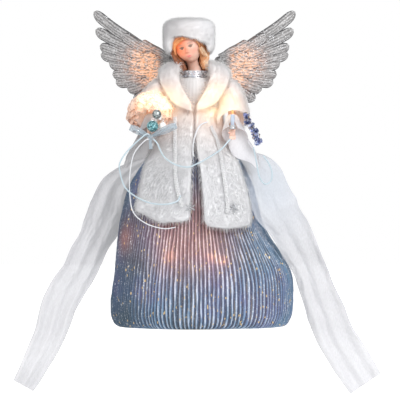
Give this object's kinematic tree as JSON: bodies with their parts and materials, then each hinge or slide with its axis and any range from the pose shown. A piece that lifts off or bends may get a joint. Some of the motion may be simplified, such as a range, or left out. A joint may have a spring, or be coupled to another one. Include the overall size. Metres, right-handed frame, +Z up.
{
  "type": "angel tree topper",
  "caption": "Lit angel figure for the tip of a tree: pleated skirt over a hollow cone, fur coat and hat, feathered wings, sheer streamers, candle and baubles in the hands.",
  "frame": {"origin": "centre of the mouth of the base cone, at the level of the hem", "axes": "+Z up along the tip of the tree, -Y the way the angel looks, +X its left-hand side"},
  "size_m": [0.3616, 0.1468, 0.377],
  "materials": {
    "card": "matt stiff card",
    "black_plastic": "matt",
    "green_wire": "satin",
    "bulb": "clear, lit from inside",
    "skirt_cloth": "finely pleated, woven with metallic thread",
    "lining": "plain",
    "form": "matt",
    "satin": "satin",
    "skin": "smooth, painted",
    "hair": "silky fibre",
    "fur": "long soft pile",
    "braid": "looped braid",
    "rhinestone": "faceted stones",
    "silver": "polished",
    "wing_glitter": "silver glitter",
    "steel": "drawn wire",
    "sheer": "sheer organza with glitter",
    "ribbon": "satin",
    "teal_glitter": "glitter",
    "pearl": "pearl lustre",
    "candle": "smooth",
    "tinsel": "metallic tinsel with gold and silver bits"
  },
  "bodies": {
    "figure": {"rim_ring": "card", "base_cone": "card", "pleated_skirt": "skirt_cloth", "skirt_lining": "lining", "torso_form": "form", "satin_bodice": "satin", "head_bust": "skin", "rhinestone_band": "rhinestone", "hair": "hair", "fur_hat": "fur", "coat_front_right": "fur", "coat_front_left": "fur", "coat_back": "fur", "coat_collar": "fur", "braid_right": "braid", "braid_left": "braid", "charm_right": "silver", "charm_left": "silver", "arm_wire_right": "steel", "arm_wire_left": "steel", "fur_sleeve_right": "fur", "fur_sleeve_left": "fur", "ribbon_closure": "ribbon", "wing_bracket": "steel", "light_string": "green_wire", "skirt_bulb_1": "bulb", "skirt_bulb_2": "bulb", "skirt_bulb_3": "bulb", "skirt_bulb_4": "bulb", "sleeve_bulb_right": "bulb", "sleeve_bulb_left": "bulb", "wing_bulb_right": "bulb", "wing_bulb_left": "bulb", "lead_gland": "black_plastic", "streamer_right": "sheer", "streamer_left": "sheer"},
    "arm_right": {"forearm_right": "skin", "bell_sleeve_right": "sheer", "ornament_pick": "steel", "silver_ball": "silver", "teal_ball": "teal_glitter", "pearl_drop": "pearl", "bow_knot": "sheer", "bow_loop_right": "sheer", "bow_loop_left": "sheer", "ribbon_long": "ribbon", "ribbon_low": "ribbon", "ribbon_between": "ribbon"},
    "arm_left": {"forearm_left": "skin", "bell_sleeve_left": "sheer", "candle_cup": "silver", "candle": "candle", "sleeve_garland": "tinsel", "ribbon_tail": "ribbon"},
    "wing_right": {"wing_right": "wing_glitter"},
    "wing_left": {"wing_left": "wing_glitter"}
  },
  "joints": [
    {"name": "wing_right_hinge", "type": "hinge", "parent": "figure", "child": "wing_right", "pos_m": [-0.016, 0.033, 0.25], "axis": [0, 0, 1], "range_deg": [-12, 12]},
    {"name": "wing_left_hinge", "type": "hinge", "parent": "figure", "child": "wing_left", "pos_m": [0.016, 0.033, 0.25], "axis": [0, 0, 1], "range_deg": [-12, 12]},
    {"name": "elbow_right", "type": "hinge", "parent": "figure", "child": "arm_right", "pos_m": [-0.043, -0.015, 0.212], "axis": [1, 0, 0], "range_deg": [-8, 8], "deforming": ["bell_sleeve_right", "ribbon_long", "ribbon_low", "ribbon_between"]},
    {"name": "elbow_left", "type": "hinge", "parent": "figure", "child": "arm_left", "pos_m": [0.037, -0.015, 0.212], "axis": [1, 0, 0], "range_deg": [-8, 8], "deforming": ["bell_sleeve_left", "ribbon_between"]}
  ]
}
